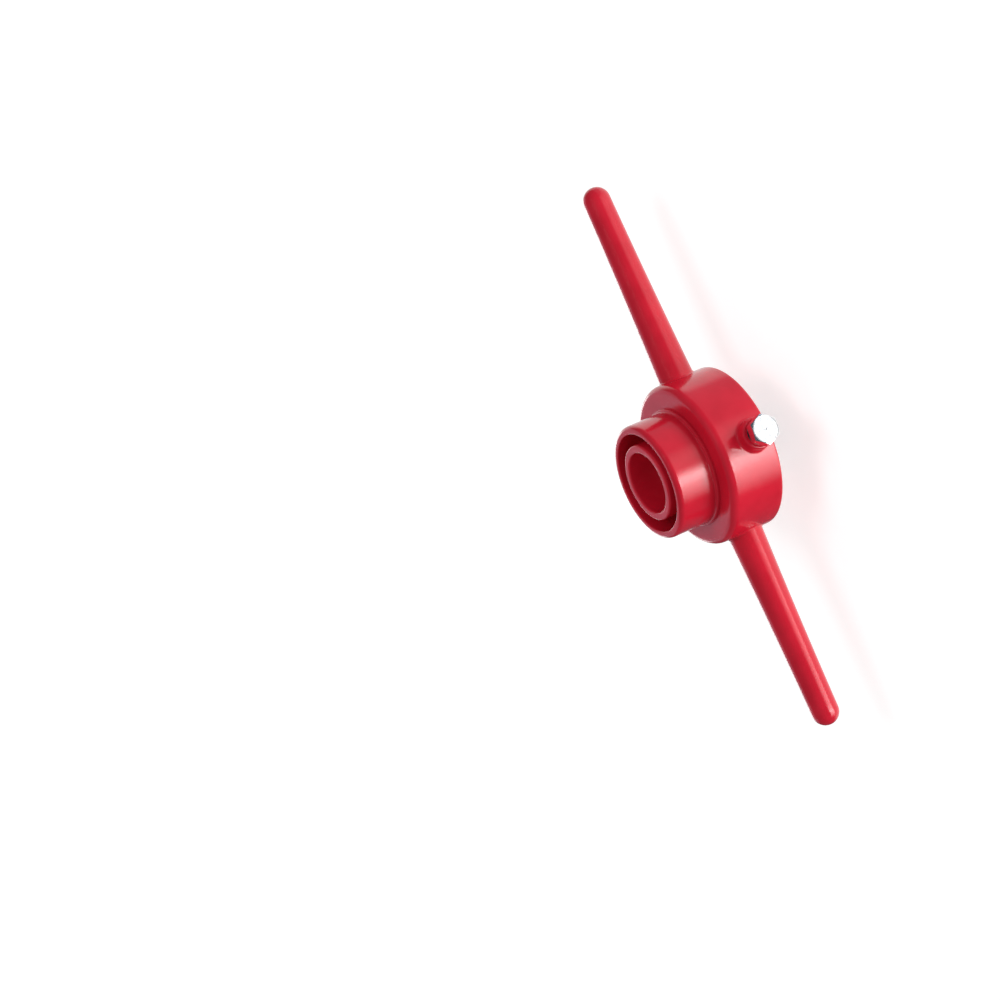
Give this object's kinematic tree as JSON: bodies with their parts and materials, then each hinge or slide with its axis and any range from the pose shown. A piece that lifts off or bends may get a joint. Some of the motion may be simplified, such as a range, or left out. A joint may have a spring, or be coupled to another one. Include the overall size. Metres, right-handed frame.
{
  "type": "pipe threading die set",
  "caption": "Hand die stock for threading plastic pipe: round hub with tapered handles, stepped guide barrel, toothed round die and side lock bolt.",
  "frame": {"origin": "centre of the bottom of the tool's outer box, on the plane of the hub's rear face; the pipe's axis is upright through x = 0, y = 0.00655 m", "axes": "+Z along the pipe's axis and out of the guide's mouth, X along the handles, -Y towards the lock bolt"},
  "size_m": [0.25, 0.0852, 0.0452],
  "materials": {
    "red_enamel": "smooth gloss enamel on cast and turned steel",
    "tool_steel": "ground and hardened tool steel",
    "zinc_plate": "bright zinc plate"
  },
  "bodies": {
    "stock": {"stock_hub": "red_enamel", "handle_right": "red_enamel", "handle_left": "red_enamel", "guide_barrel": "red_enamel", "pipe_guide": "red_enamel"},
    "die": {"round_die": "tool_steel"},
    "bolt": {"lock_bolt": "zinc_plate"}
  },
  "joints": [
    {"name": "bolt_screws_out", "type": "slide", "parent": "stock", "child": "bolt", "axis": [0, -1, 0], "range_m": [0, 0.018]},
    {"name": "die_lifts_out", "type": "slide", "parent": "stock", "child": "die", "axis": [0, 0, -1], "range_m": [0, 0.02]}
  ]
}
